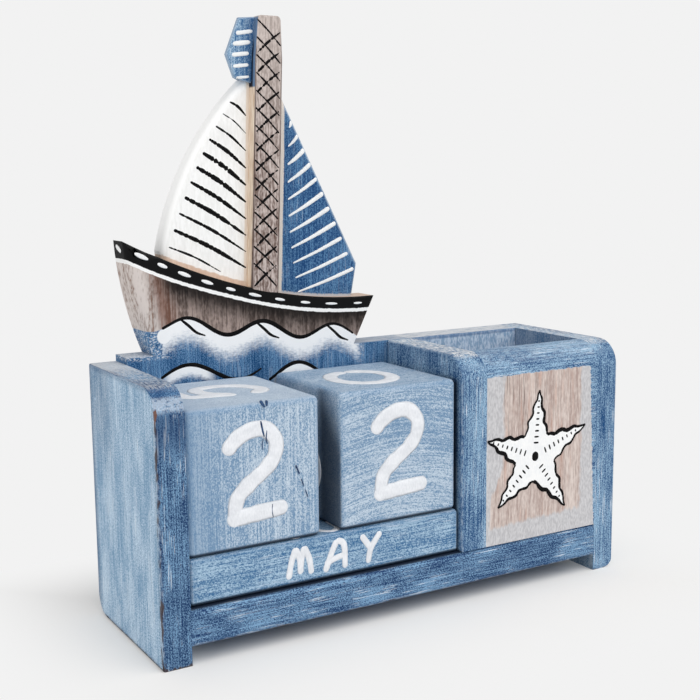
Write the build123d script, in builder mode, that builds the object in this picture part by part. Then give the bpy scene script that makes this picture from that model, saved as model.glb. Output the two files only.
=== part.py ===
"""Desk calendar with a pencil box: date cubes, month bars and a carved sailboat board."""
import os

from build123d import *

os.makedirs("parts", exist_ok=True)

# All sizes are in millimetres. X runs left to right, Y front to back and Z up from the desk,
# with the origin under the middle of the case.

# Loose calendar pieces
cube_side = 50.0
cube_arris = 2.0
bar_count = 3
bar_gap = 0.4
bar_arris = 1.6
bar_end_chamfer = 0.5
bar_end_gap = 1.0
rest_gap = 0.2

# Room around the cubes in their bay
cube_recess = 1.5
cube_back_gap = 0.5
left_cube_gap = 0.6
middle_cube_gap = 8.0
right_cube_gap = 1.9
rim_above_cubes = 8.2

# Boards of the case
side_thickness = 10.5
base_thickness = 13.0
back_thickness = 12.5
divider_thickness = 11.5
front_thickness = 12.5
well_width = 55.0
foot_height = 6.5
front_round = 10.0
foot_round = 8.0
right_foot_round = 5.0
base_nose = 2.5
arris = 1.0
ledge_rise = 2.5

# Carved boat, measured from the inner face of the left side and from the top of the case
bow_inset = 0.8
bow_rise = 44.4
bow_rake = 10.4
bow_swell = 1.9
bow_round = 3.4
hull_length = 103.6
sheer_drop = 7.1
stern_rise = 18.8
stern_rake = 9.4
hull_root = 8.0
mast_place = 54.9
mast_width = 11.6
mast_top_width = 9.6
mast_rise = 125.5
mast_lean = 5.0
mast_taper = 16.0
mast_top_round = 1.5
mast_arris = 0.8
sail_relief = 4.6
sail_round = 2.5
sail_roach = 5.6
sail_tuck = 5.0
main_head_rise = 102.4
main_head_width = 1.8
main_tack_place = 16.3
main_tack_rise = 40.0
jib_head_rise = 101.2
jib_clew_place = 99.9
jib_clew_rise = 31.6
jib_foot_place = 95.5
pennant_relief = 2.8
pennant_round = 1.2
pennant_fly = 8.3
pennant_tip_drop = 13.5
pennant_hoist = 24.0
pennant_top_width = 2.8
pennant_low_width = 5.2
pennant_slant = 2.0

# Brads of flattened wire with T heads, which pin the glued boards
brad_width = 1.25
brad_thickness = 1.0
brad_length = 25.0
brad_head_width = 2.0
brad_head_height = 0.8
brad_inset = 12.0
under_brad_inset = 20.0
brad_fit = 0.05

# Places that follow from the sizes above
bay_width = left_cube_gap + 2 * cube_side + middle_cube_gap + right_cube_gap
case_width = bay_width + divider_thickness + well_width + 2 * side_thickness
case_depth = cube_recess + cube_side + cube_back_gap + back_thickness
bar_side = (cube_side - (bar_count - 1) * bar_gap) / bar_count
base_top = foot_height + base_thickness
bar_bottom = base_top + rest_gap
cube_bottom = bar_bottom + bar_side + rest_gap
case_top = cube_bottom + cube_side + rim_above_cubes
case_left = -case_width / 2
case_right = case_width / 2
case_front = -case_depth / 2
case_back = case_depth / 2
bay_left = case_left + side_thickness
bay_right = bay_left + bay_width
well_left = bay_right + divider_thickness
well_right = case_right - side_thickness
board_front = case_back - back_thickness
cube_front = case_front + cube_recess

base_middle_z = foot_height + base_thickness / 2
back_middle_y = case_back - back_thickness / 2
front_middle_y = case_front + front_thickness / 2
divider_middle_x = bay_right + divider_thickness / 2
front_nose = min(front_round, front_thickness - 2 * arris)

left_face = Plane.YZ.offset(case_left)
right_face = Plane.YZ.offset(case_right)
under_face = Plane.XY.offset(foot_height)
boat_face = Plane(origin=(bay_left, board_front, case_top), x_dir=(1, 0, 0), z_dir=(0, -1, 0))

# Brad places as Y, Z on the two sides and as X, Y under the base
base_end_brads = [
    (case_front + brad_inset, base_middle_z),
    (board_front - brad_inset, base_middle_z),
]
back_end_brads = [
    (back_middle_y, base_top + brad_inset),
    (back_middle_y, case_top - brad_inset),
]
front_end_brads = [
    (front_middle_y, base_top + brad_inset),
    (front_middle_y, case_top - brad_inset),
]
left_brads = base_end_brads + back_end_brads
right_brads = base_end_brads + back_end_brads + front_end_brads
under_brads = [
    (divider_middle_x, case_front + brad_inset),
    (divider_middle_x, board_front - brad_inset),
    (bay_left + under_brad_inset, back_middle_y),
    (well_right - under_brad_inset, back_middle_y),
    (well_left + under_brad_inset, front_middle_y),
    (well_right - under_brad_inset, front_middle_y),
]


def drive_brads(face, places, inward, fit=0.0, mode=Mode.ADD):
    """Shanks and heads of brads driven inward from a face, or their holes when cut with a fit."""
    with BuildSketch(face) as shanks:
        with Locations(*places):
            Rectangle(brad_width + 2 * fit, brad_thickness + 2 * fit)
    with BuildSketch(face) as heads:
        with Locations(*places):
            Rectangle(brad_head_width + 2 * fit, brad_thickness + 2 * fit)
    extrude(shanks.sketch, amount=inward * (brad_length + fit), mode=mode)
    extrude(heads.sketch, amount=inward * (brad_head_height + fit), mode=mode)


def side_outline(face):
    """Side board: square at the back of its top, rounded over at the front and at its back foot."""
    with BuildSketch(face) as outline:
        with BuildLine():
            Polyline(
                (case_front + front_round, case_top),
                (case_back, case_top),
                (case_back, foot_round),
            )
            RadiusArc((case_back, foot_round), (case_back - foot_round, 0), foot_round)
            Polyline(
                (case_back - foot_round, 0),
                (case_front, 0),
                (case_front, case_top - front_round),
            )
            RadiusArc(
                (case_front, case_top - front_round),
                (case_front + front_round, case_top),
                front_round,
            )
        make_face()
    return outline.sketch


def nosed_outline(face, depth, nose):
    """Upright board on the base, with the top of its front edge rounded over."""
    with BuildSketch(face) as outline:
        with BuildLine():
            Polyline(
                (case_front + nose, case_top),
                (case_front + depth, case_top),
                (case_front + depth, base_top),
                (case_front, base_top),
                (case_front, case_top - nose),
            )
            RadiusArc((case_front, case_top - nose), (case_front + nose, case_top), nose)
        make_face()
    return outline.sketch


# Sides of the case
with BuildPart() as left_side_panel:
    extrude(side_outline(left_face), amount=side_thickness)
    fillet(left_side_panel.faces().sort_by(Axis.X)[0].edges(), radius=arris)
    drive_brads(left_face, left_brads, 1, brad_fit, Mode.SUBTRACT)

with BuildPart() as right_side_panel:
    extrude(side_outline(right_face), amount=-side_thickness)
    fillet(right_side_panel.faces().sort_by(Axis.X)[-1].edges(), radius=arris)
    with BuildSketch(Plane.XZ):
        with Locations((case_right, 0)):
            Rectangle(right_foot_round, right_foot_round, align=(Align.MAX, Align.MIN))
        with Locations((case_right - right_foot_round, right_foot_round)):
            Circle(right_foot_round, mode=Mode.SUBTRACT)
    extrude(amount=case_depth, both=True, mode=Mode.SUBTRACT)
    drive_brads(right_face, right_brads, -1, brad_fit, Mode.SUBTRACT)

# Base held clear of the desk between the sides
with BuildPart() as base_board:
    with BuildSketch(under_face):
        with Locations(((bay_left + well_right) / 2, 0)):
            Rectangle(well_right - bay_left, case_depth)
    extrude(amount=base_thickness)
    front_edges = base_board.edges().filter_by(Axis.X).group_by(Axis.Y)[0].sort_by(Axis.Z)
    fillet(front_edges[-1], radius=base_nose)
    fillet(base_board.edges().filter_by(Axis.X).group_by(Axis.Z)[0], radius=arris)
    drive_brads(left_face, left_brads, 1, brad_fit, Mode.SUBTRACT)
    drive_brads(right_face, right_brads, -1, brad_fit, Mode.SUBTRACT)
    drive_brads(under_face, under_brads, 1, brad_fit, Mode.SUBTRACT)

# Pencil box: wall beside the cubes and inset front
with BuildPart() as box_divider:
    divider_outline = nosed_outline(Plane.YZ.offset(bay_right), board_front - case_front, front_round)
    extrude(divider_outline, amount=divider_thickness)
    fillet(box_divider.faces().sort_by(Axis.X)[0].edges(), radius=arris)
    drive_brads(under_face, under_brads, 1, brad_fit, Mode.SUBTRACT)

with BuildPart() as box_front_panel:
    extrude(nosed_outline(Plane.YZ.offset(well_left), front_thickness, front_nose), amount=well_width)
    inner_rim = box_front_panel.edges().filter_by(Axis.X).group_by(Axis.Z)[-1].sort_by(Axis.Y)[-1]
    fillet(inner_rim, radius=arris)
    drive_brads(right_face, front_end_brads, -1, brad_fit, Mode.SUBTRACT)
    drive_brads(under_face, under_brads, 1, brad_fit, Mode.SUBTRACT)


def mast_axis(rise):
    """Place of the middle of the mast at a rise above the case."""
    return mast_place + mast_lean * rise / mast_rise


# Carved forms of the boat, each with its own edges before they meet in the plank
with BuildPart() as hull:
    bow_tip = (bow_inset, bow_rise)
    bow_foot = (bow_inset + bow_rake, 0)
    stern_tip = (bow_inset + hull_length, stern_rise)
    stern_foot = (bow_inset + hull_length - stern_rake, 0)
    sheer_middle = ((bow_tip[0] + stern_tip[0]) / 2, (bow_rise + stern_rise) / 2 - sheer_drop)
    bow_middle = ((bow_tip[0] + bow_foot[0]) / 2 - bow_swell, bow_rise / 2)
    with BuildSketch(boat_face):
        with BuildLine():
            ThreePointArc(bow_tip, sheer_middle, stern_tip)
            Polyline(
                stern_tip,
                stern_foot,
                (stern_foot[0], -hull_root),
                (bow_foot[0], -hull_root),
                bow_foot,
            )
            ThreePointArc(bow_foot, bow_middle, bow_tip)
        make_face()
    extrude(amount=-back_thickness)
    bow_edge = hull.edges().group_by(Axis.Y)[0].filter_by(GeomType.CIRCLE).sort_by(Axis.X)[0]
    fillet(bow_edge, radius=bow_round)

with BuildPart() as mast:
    mast_shoulder = mast_rise - mast_taper
    mast_head = mast_axis(mast_rise)
    with BuildSketch(boat_face):
        with BuildLine():
            Polyline(
                (mast_place - mast_width / 2, 0),
                (mast_place + mast_width / 2, 0),
                (mast_axis(mast_shoulder) + mast_width / 2, mast_shoulder),
                (mast_head + mast_top_width / 2, mast_rise),
                (mast_head - mast_top_width / 2, mast_rise),
                (mast_axis(mast_shoulder) - mast_width / 2, mast_shoulder),
                close=True,
            )
        make_face()
    extrude(amount=-back_thickness)
    fillet(mast.edges().filter_by(Axis.Y).group_by(Axis.Z)[-1], radius=mast_top_round)
    fillet(mast.edges().group_by(Axis.Y)[0], radius=mast_arris)

with BuildPart() as main_sail:
    sail_thickness = back_thickness - sail_relief
    main_tack = (main_tack_place, main_tack_rise)
    main_head = (mast_axis(main_head_rise) - mast_width / 2 - main_head_width, main_head_rise)
    leech_along = (Vector(*main_head) - Vector(*main_tack)).normalized()
    leech_middle = (
        (main_tack[0] + main_head[0]) / 2 - sail_roach * leech_along.Y,
        (main_tack[1] + main_head[1]) / 2 + sail_roach * leech_along.X,
    )
    with BuildSketch(boat_face.offset(-sail_relief)):
        with BuildLine():
            ThreePointArc(main_head, leech_middle, main_tack)
            Polyline(
                main_tack,
                (main_tack_place + sail_tuck, hull_root),
                (mast_place, hull_root),
                (mast_axis(main_head_rise), main_head_rise),
                main_head,
            )
        make_face()
    extrude(amount=-sail_thickness)
    fillet(main_sail.edges().group_by(Axis.Y)[0], radius=sail_round)

with BuildPart() as jib:
    with BuildSketch(boat_face.offset(-sail_relief)):
        with BuildLine():
            Polyline(
                (mast_axis(jib_head_rise), jib_head_rise),
                (mast_axis(jib_head_rise) + mast_width / 2, jib_head_rise),
                (jib_clew_place, jib_clew_rise),
                (jib_foot_place, hull_root),
                (mast_place, hull_root),
                close=True,
            )
        make_face()
    extrude(amount=-sail_thickness)
    fillet(jib.edges().group_by(Axis.Y)[0], radius=sail_round)

with BuildPart() as pennant:
    hoist_top = mast_head - mast_top_width / 2
    pennant_low = mast_rise - pennant_hoist
    with BuildSketch(boat_face.offset(-pennant_relief)):
        with BuildLine():
            Polyline(
                (mast_head, mast_rise),
                (hoist_top - pennant_top_width, mast_rise),
                (hoist_top - pennant_fly, mast_rise - pennant_tip_drop),
                (hoist_top - pennant_low_width, pennant_low + pennant_slant),
                (mast_axis(pennant_low), pennant_low - pennant_slant),
                close=True,
            )
        make_face()
    extrude(amount=pennant_relief - back_thickness)
    fillet(pennant.edges().group_by(Axis.Y)[0], radius=pennant_round)

# Back of the case, one plank with the boat standing on its top edge
with BuildPart() as boat_back_board:
    with BuildSketch(boat_face):
        with BuildLine():
            Polyline(
                (0, base_top - case_top),
                (well_right - bay_left, base_top - case_top),
                (well_right - bay_left, 0),
                (bow_foot[0], 0),
                (bow_foot[0], ledge_rise),
                (0, ledge_rise),
                close=True,
            )
        make_face()
    extrude(amount=-back_thickness)
    for carving in (hull, mast, main_sail, jib, pennant):
        add(carving.part)
    drive_brads(left_face, back_end_brads, 1, brad_fit, Mode.SUBTRACT)
    drive_brads(right_face, back_end_brads, -1, brad_fit, Mode.SUBTRACT)
    drive_brads(under_face, under_brads, 1, brad_fit, Mode.SUBTRACT)

case_boards = {
    "left_side_panel": left_side_panel,
    "right_side_panel": right_side_panel,
    "base_board": base_board,
    "box_divider": box_divider,
    "box_front_panel": box_front_panel,
    "boat_back_board": boat_back_board,
}
for name, board in case_boards.items():
    board.part.label = name
    export_step(board.part, f"parts/{name}.step")

# Brads, with flush heads under the paint
for name, face, places, inward in (
    ("left_side_brads", left_face, left_brads, 1),
    ("right_side_brads", right_face, right_brads, -1),
    ("base_brads", under_face, under_brads, 1),
):
    with BuildPart() as brads:
        drive_brads(face, places, inward)
    brads.part.label = name
    export_step(brads.part, f"parts/{name}.step")

# Date cubes, loose in their bay
right_cube_left = bay_right - right_cube_gap - cube_side
for name, cube_left in (
    ("date_cube_left", bay_left + left_cube_gap),
    ("date_cube_right", right_cube_left),
):
    with BuildPart() as date_cube:
        with Locations((cube_left, cube_front, cube_bottom)):
            Box(cube_side, cube_side, cube_side, align=(Align.MIN, Align.MIN, Align.MIN))
        fillet(date_cube.edges(), radius=cube_arris)
    date_cube.part.label = name
    export_step(date_cube.part, f"parts/{name}.step")

# Month bars, three in a row under the cubes, cut from a rounded strip with eased ends
bar_length = bay_width - 2 * bar_end_gap
for row, name in enumerate(("month_bar_front", "month_bar_middle", "month_bar_back")):
    bar_front = cube_front + row * (bar_side + bar_gap)
    with BuildPart() as month_bar:
        with Locations((bay_left + bar_end_gap, bar_front, bar_bottom)):
            Box(bar_length, bar_side, bar_side, align=(Align.MIN, Align.MIN, Align.MIN))
        fillet(month_bar.edges().filter_by(Axis.X), radius=bar_arris)
        chamfer(month_bar.faces().filter_by(Axis.X).edges(), length=bar_end_chamfer)
    month_bar.part.label = name
    export_step(month_bar.part, f"parts/{name}.step")
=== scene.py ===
# %% [markdown]
# # A painted desk calendar with a pencil box
#
# The calendar is a small case of blue boards. Two date cubes and three month bars lie loose in
# it, a pencil box closes its right end, and its back board grows into a sailboat. The boards,
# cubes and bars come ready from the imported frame; this lesson paints them, carves the boat again
# in finer pieces, and lays every brush stroke of the decoration on top.

# %% Load the frame
import math
from types import SimpleNamespace

import bmesh
import bpy
from mathutils import Matrix, Vector, geometry, noise
from mathutils.bvhtree import BVHTree


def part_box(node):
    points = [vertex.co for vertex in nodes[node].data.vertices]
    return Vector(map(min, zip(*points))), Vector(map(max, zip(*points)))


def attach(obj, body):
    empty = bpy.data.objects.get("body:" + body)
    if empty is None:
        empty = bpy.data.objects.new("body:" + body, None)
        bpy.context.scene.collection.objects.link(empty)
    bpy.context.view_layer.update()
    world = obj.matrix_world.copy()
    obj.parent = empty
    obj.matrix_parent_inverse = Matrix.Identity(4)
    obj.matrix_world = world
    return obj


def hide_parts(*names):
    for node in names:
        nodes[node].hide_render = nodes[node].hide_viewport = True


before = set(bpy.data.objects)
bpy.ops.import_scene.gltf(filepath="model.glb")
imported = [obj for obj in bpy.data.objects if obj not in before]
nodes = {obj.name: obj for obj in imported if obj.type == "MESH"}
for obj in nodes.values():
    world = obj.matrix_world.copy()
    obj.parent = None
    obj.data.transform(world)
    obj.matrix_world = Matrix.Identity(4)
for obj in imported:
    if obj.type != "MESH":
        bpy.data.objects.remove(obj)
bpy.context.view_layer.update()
print("nodes:", ", ".join(sorted(nodes)))

# %% [markdown]
# Blender counts in metres, but the sizes of a thing that stands on a desk read better in
# millimetres. Boxes of the frame are turned to millimetres here, every new piece is drawn in
# them, and the helper that finishes a piece scales its mesh back to metres.

# %% Millimetres
MM = 0.001


def box_mm(node):
    """Lowest and highest corner of a node, in millimetres."""
    low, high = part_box(node)
    return Vector(low) / MM, Vector(high) / MM


panel_low, panel_high = box_mm("left_side_panel")
board_low, board_high = box_mm("boat_back_board")
rail_low, rail_high = box_mm("base_board")
divider_low, divider_high = box_mm("box_divider")
case_top = panel_high.z
print("case top at", round(case_top, 2), "board front at", round(board_low.y, 2))

# %% [markdown]
# The photograph looks down a little from the left. A camera with no shift was fitted to the
# corners of the case, so its place, its angles and its lens are plain numbers.

# %% Camera
image_side = 700
lens_in_pixels = 1162.7
look_azimuth = math.radians(30.585)
look_down = math.radians(8.839)
look_roll = math.radians(-0.554)
camera_place = Vector((-229.52, -376.09, 163.55)) * MM

camera_data = bpy.data.cameras.new("camera")
camera_data.sensor_width = 36
camera_data.lens = camera_data.sensor_width * lens_in_pixels / image_side
camera = bpy.data.objects.new("camera", camera_data)
bpy.context.collection.objects.link(camera)
camera.matrix_world = (
    Matrix.Translation(camera_place)
    @ Matrix.Rotation(-look_azimuth, 4, "Z")
    @ Matrix.Rotation(math.pi / 2 - look_down, 4, "X")
    @ Matrix.Rotation(look_roll, 4, "Z")
)
bpy.context.scene.camera = camera
bpy.context.scene.view_settings.view_transform = "Standard"
print("lens", round(camera_data.lens, 2), "mm")

# %% [markdown]
# Shader maths reads best as plain expressions. This class wraps one socket of a node tree:
# arithmetic on it adds Math nodes, and `node` adds anything else, with its settings first and
# then its sockets.

# %% Sockets with arithmetic
class Socket:
    """An output socket; arithmetic with numbers or other sockets adds Math nodes."""

    def __init__(self, tree, socket):
        self.tree = tree
        self.socket = socket

    def node(self, kind, settings, sockets, out=0):
        """Adds any node: its settings, then the values or links of its sockets."""
        made = self.tree.nodes.new(kind)
        for key, setting in settings.items():
            setattr(made, key, setting)
        for key, given in sockets.items():
            if isinstance(given, Socket):
                self.tree.links.new(given.socket, made.inputs[key])
            else:
                made.inputs[key].default_value = given
        return Socket(self.tree, made.outputs[out]) if made.outputs else None

    def math(self, operation, first, second=0.0):
        return self.node("ShaderNodeMath", {"operation": operation}, {0: first, 1: second})

    def __add__(self, other):
        return self.math("ADD", self, other)

    def __radd__(self, other):
        return self.math("ADD", other, self)

    def __sub__(self, other):
        return self.math("SUBTRACT", self, other)

    def __rsub__(self, other):
        return self.math("SUBTRACT", other, self)

    def __mul__(self, other):
        return self.math("MULTIPLY", self, other)

    def __rmul__(self, other):
        return self.math("MULTIPLY", other, self)

    def __truediv__(self, other):
        return self.math("DIVIDE", self, other)

    def __rtruediv__(self, other):
        return self.math("DIVIDE", other, self)

    def __neg__(self):
        return self.math("MULTIPLY", self, -1.0)

    def __abs__(self):
        return self.math("ABSOLUTE", self)

    def least(self, other):
        return self.math("MINIMUM", self, other)

    def most(self, other):
        return self.math("MAXIMUM", self, other)

    def rise(self, low, high):
        """0 below low and 1 above high, with a soft step between."""
        ends = {"Value": self, "From Min": low, "From Max": high}
        return self.node("ShaderNodeMapRange", {"interpolation_type": "SMOOTHSTEP"}, ends)

    def fall(self, low, high):
        """1 below low and 0 above high."""
        return 1 - self.rise(low, high)


def tone(red, green, blue):
    """A colour as a paint chart gives it, 0 to 255, turned to the linear values of a shader."""
    shares = [level / 255 for level in (red, green, blue)]
    linear = [s / 12.92 if s <= 0.04045 else ((s + 0.055) / 1.055) ** 2.4 for s in shares]
    return (*linear, 1.0)


def blend(amount, under, over):
    """The colour over, laid on the colour under as thickly as the amount says."""
    sockets = {0: amount, 6: under, 7: over}
    return amount.node("ShaderNodeMix", {"data_type": "RGBA"}, sockets, out=2)


def parts(vector):
    """The three numbers of a vector socket."""
    split = vector.node("ShaderNodeSeparateXYZ", {}, {0: vector})
    return [Socket(vector.tree, output) for output in split.socket.node.outputs]


# %% [markdown]
# A studio with a pale floor and a pale background. One broad lamp above the right front does the
# shaping, a weaker one from the left opens the shadow side, and an even sky fills the rest, at a
# level where a colour renders about as it is written. Close to the case the floor takes shadow;
# within a hand's breadth it turns into the background tone, so that no horizon shows.

# %% Sky
backdrop = tone(242, 242, 242)
sky_level = 0.5

world = bpy.data.worlds.new("studio")
bpy.context.scene.world = world
world.use_nodes = True
world.node_tree.nodes.clear()
rays = world.node_tree.nodes.new("ShaderNodeLightPath")
camera_ray, glossy_ray, clear_ray = (
    Socket(world.node_tree, rays.outputs[name])
    for name in ("Is Camera Ray", "Is Glossy Ray", "Is Transmission Ray")
)
seen = camera_ray.most(glossy_ray).most(clear_ray)
white_sky = {"Color": tone(255, 255, 255), "Strength": sky_level}
light = seen.node("ShaderNodeBackground", {}, white_sky)
picture = seen.node("ShaderNodeBackground", {}, {"Color": backdrop, "Strength": 1.0})
either = seen.node("ShaderNodeMixShader", {}, {0: seen, 1: light, 2: picture})
seen.node("ShaderNodeOutputWorld", {}, {"Surface": either})
print("sky level", sky_level)

# %% Floor and lamps
floor_tone, shadow_tone = tone(246, 244, 241), tone(204, 204, 208)
floor_half = 2.0
end_margin = 0.015
shadow_span = -0.02, 0.004
fade_span = -0.01, 0.065
# Direction towards each lamp, its strength and its softness in degrees.
lamps = {
    "key_lamp": (Vector((0.5, -0.75, 1.0)), 1.55, 70),
    "left_lamp": (Vector((-1.0, -0.6, 0.5)), 0.75, 70),
}

sheet = bmesh.new()
bmesh.ops.create_grid(sheet, x_segments=1, y_segments=1, size=floor_half)
floor_mesh = bpy.data.meshes.new("floor")
sheet.to_mesh(floor_mesh)
sheet.free()
floor = bpy.data.objects.new("floor", floor_mesh)
bpy.context.collection.objects.link(floor)

floor_paper = bpy.data.materials.new("floor_paper")
floor_paper.use_nodes = True
paper = floor_paper.node_tree
paper.nodes.clear()
where = Socket(paper, paper.nodes.new("ShaderNodeTexCoord").outputs["Object"])
floor_x, floor_y = parts(where)[:2]
past_ends = abs(floor_x) - panel_low.x * -MM + end_margin
away = past_ends.most(abs(floor_y) - board_high.y * MM)
shaded_tone = blend(away.fall(*shadow_span), floor_tone, shadow_tone)
matte = where.node("ShaderNodeBsdfDiffuse", {}, {"Color": shaded_tone})
glow = where.node("ShaderNodeEmission", {}, {"Color": backdrop, "Strength": 1.0})
faded = where.node("ShaderNodeMixShader", {}, {0: away.rise(*fade_span), 1: matte, 2: glow})
where.node("ShaderNodeOutputMaterial", {}, {"Surface": faded})
floor_mesh.materials.append(floor_paper)

for name, (direction, strength, softness) in lamps.items():
    lamp = bpy.data.lights.new(name, "SUN")
    lamp.energy = strength
    lamp.angle = math.radians(softness)
    lamp_object = bpy.data.objects.new(name, lamp)
    lamp_object.rotation_euler = direction.to_track_quat("Z", "Y").to_euler()
    bpy.context.collection.objects.link(lamp_object)
print("lamps:", ", ".join(lamps))

# %% [markdown]
# Every finish on the calendar starts from the same question: where on the piece is this point,
# and which way does it face? `spot` answers it in millimetres. Brush marks and grain are noise
# drawn out along one axis, and the distance to the nearest arris of a board tells where the paint
# rubs off.

# %% Places, streaks and edges
ALONG_X, ALONG_Y, ALONG_Z = 0, 1, 2


def spot(name):
    """A new material and the sockets that tell its finish where it is, in millimetres."""
    material = bpy.data.materials.new(name)
    material.use_nodes = True
    material.node_tree.nodes.clear()
    coordinates = material.node_tree.nodes.new("ShaderNodeTexCoord")
    metres = Socket(material.node_tree, coordinates.outputs["Object"])
    to_millimetres = {0: metres, "Scale": 1 / MM}
    place = metres.node("ShaderNodeVectorMath", {"operation": "SCALE"}, to_millimetres)
    x, y, z = parts(place)
    normal = Socket(material.node_tree, coordinates.outputs["Normal"])
    facing_x, facing_y, facing_z = parts(normal)
    return SimpleNamespace(
        material=material, place=place, x=x, y=y, z=z,
        right=facing_x, left=-facing_x, back=facing_y, front=-facing_y, up=facing_z,
    )


def streaks(here, grain, width, length, shift=0.0, detail=3.0):
    """Noise drawn out along the grain, from 0 to 1; width and length are in millimetres."""
    scale = [1 / width] * 3
    scale[grain] = 1 / length
    sockets = {"Vector": here.place, "Location": (shift, shift, shift), "Scale": scale}
    stretched = here.place.node("ShaderNodeMapping", {}, sockets)
    sockets = {"Vector": stretched, "Scale": 1.0, "Detail": detail}
    return stretched.node("ShaderNodeTexNoise", {}, sockets)


def mixture(level, *swings):
    """A level and the noises that swing about it, each given with its strength."""
    for streak, strength in swings:
        level = (streak - 0.5) * strength + level
    return level


def edge_distance(here, low, high):
    """Millimetres from the nearest edge of a box: the middle one of the distances to its faces."""
    across, deep, tall = (
        (at - start).least(end - at)
        for at, start, end in zip((here.x, here.y, here.z), low, high)
    )
    return across.least(deep).most(across.most(deep).least(tall))


def close(here, colour, roughness, height, depth, shine=0.2):
    """Ends a finish: colour, roughness and a relief of the given depth in millimetres."""
    relief = colour.node("ShaderNodeBump", {}, {"Distance": depth * MM, "Height": height})
    sockets = {
        "Base Color": colour, "Roughness": roughness,
        "Normal": relief, "Specular IOR Level": shine,
    }
    shader = colour.node("ShaderNodeBsdfPrincipled", {}, sockets)
    colour.node("ShaderNodeOutputMaterial", {}, {"Surface": shader})
    return here.material


# %% [markdown]
# The boards wear one thin coat of blue, pulled out with a stiff brush so that the pale ground
# shows between the hairs. `dry_brush` lays that coat: hairs along the grain, a fine speckle and
# slow clouds decide between a deep and a pale blue, and chalky flecks sit on the high grain.
# `board_coat` turns the hairs on a board's top, where the brush was pulled another way.
# `rub_edges` then takes the coat off along the arrises, first to the pale ground and here and
# there to the bare wood.

# %% Blue coat and worn edges
chalk = tone(222, 230, 238)
rubbed_ground = tone(186, 200, 214)
bare_brown = tone(62, 44, 37)
board_flecks, board_clouding = 0.75, 1.3


def dry_brush(here, grain, deep, pale, flecks=board_flecks, clouding=board_clouding):
    """Colour and relief of a thin coat brushed along the grain."""
    hairs = streaks(here, grain, 0.43, 24.0, detail=1.0)
    speckle = streaks(here, grain, 0.34, 0.5, shift=31.0, detail=2.0)
    clouds = streaks(here, grain, 9.0, 20.0, shift=57.0)
    load = mixture(0.47, (hairs, 1.4), (speckle, 2.8), (clouds, clouding))
    colour = blend(load.rise(-0.05, 1.05), deep, pale)
    scratches = streaks(here, grain, 0.4, 11.0, shift=83.0).rise(0.6, 0.66)
    scratches = scratches * clouds.rise(0.42, 0.58)
    return blend(scratches * flecks, colour, chalk), hairs * 0.5 + speckle * 0.5


def board_coat(here, grain, top_grain, deep, pale, flecks=board_flecks):
    """A brushed coat with its hairs along the grain, but along another axis on the top."""
    colour, relief = dry_brush(here, grain, deep, pale, flecks)
    top_colour, top_relief = dry_brush(here, top_grain, deep, pale, flecks)
    top = here.up.rise(0.35, 0.75)
    return blend(top, colour, top_colour), top_relief * top + relief * (1 - top)


def rub_edges(here, grain, colour, relief, edge, bare_share=0.46, chips=1.0):
    """Takes a coat off along the edges: to the ground, and in places to the bare wood."""
    ragged = streaks(here, grain, 0.8, 2.5, shift=11.0)
    rubbed = (edge + (ragged - 0.5) * 3.0).fall(0.0, 0.8)
    chipped = streaks(here, grain, 1.2, 6.0, shift=71.0)
    bare = (edge + (chipped - bare_share) * 4).fall(0.1, 0.5) * chips
    colour = blend(rubbed * 0.4, colour, rubbed_ground)
    return blend(bare * 0.85, colour, bare_brown), relief - rubbed * 0.2 - bare * 0.5


print("flecks", board_flecks, "clouding", board_clouding)

# %% [markdown]
# A board is a box to this finish. Its front and its sides have blues of their own, its top is
# worn, and its glued edges are moved out of reach, so that only the edges that a hand can touch
# are rubbed.

# %% Boards
rubbed_top = tone(219, 220, 221)
# Deep navy for painted shade in gaps, under the base and under resting pieces; on the lower edges
# of the cubes and bars it stands for dirt as well.
navy_shade_and_dirt = tone(18, 30, 48)
glued = 20
# Pairs of a deep and a pale blue.
full_blues = tone(0, 42, 88), tone(120, 159, 193)
rail_blues = tone(0, 44, 92), tone(126, 165, 199)
middle_blues = tone(10, 66, 115), tone(152, 185, 211)
washed_blues = tone(100, 143, 178), tone(202, 222, 239)


def blue_board(
    node, grain, fronts, sides, glued_low=(0, 0, 0), glued_high=(0, 0, 0),
    top_wash=0.5, bare=0.44, top_grain=ALONG_Y,
):
    """Colour and relief of one board: its front blues, the blues of its sides and a rubbed top."""
    here = spot(node + "_paint")
    low, high = box_mm(node)
    side = here.left.most(here.right).rise(0.5, 0.9)
    deep, pale = (blend(side, front, other) for front, other in zip(fronts, sides))
    colour, relief = board_coat(here, grain, top_grain, deep, pale)
    worn = streaks(here, top_grain, 0.5, 3.0, shift=23.0).rise(0.4, 0.6)
    colour = blend(here.up.rise(0.8, 0.97) * worn * top_wash, colour, rubbed_top)
    edge = edge_distance(here, low - Vector(glued_low), high + Vector(glued_high))
    colour = blend(edge.fall(0.5, 2.5) * 0.3, colour, fronts[0])
    below_top = (high.z - here.z).rise(1.5, 4.0)
    return here, *rub_edges(here, grain, colour, relief, edge, bare, below_top)


def finish_board(node, here, colour, relief):
    """Lays a board's finish on its node."""
    dull = streaks(here, ALONG_Z, 6.0, 15.0, shift=5.0) * 0.3 + 0.5
    nodes[node].material_slots[0].material = close(here, colour, dull, relief, 0.12)
    print(node, "painted")


print("glued edges lie", glued, "mm out of reach")

# %% [markdown]
# Each board differs a little. The left side is rubbed white where its front rolls over, with a
# brown chip below the roll, and it is deep blue under that; it is darker along its lower edge.

# %% Left side
rubbed_back, rubbed_roll = tone(206, 210, 214), tone(200, 213, 228)
roll_blue, chip_brown, lower_edge_dark = tone(40, 88, 136), tone(112, 72, 52), tone(52, 42, 40)
chip_height = 86.6
chip_half_width, chip_half_height = 1.4, 1.9

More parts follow.
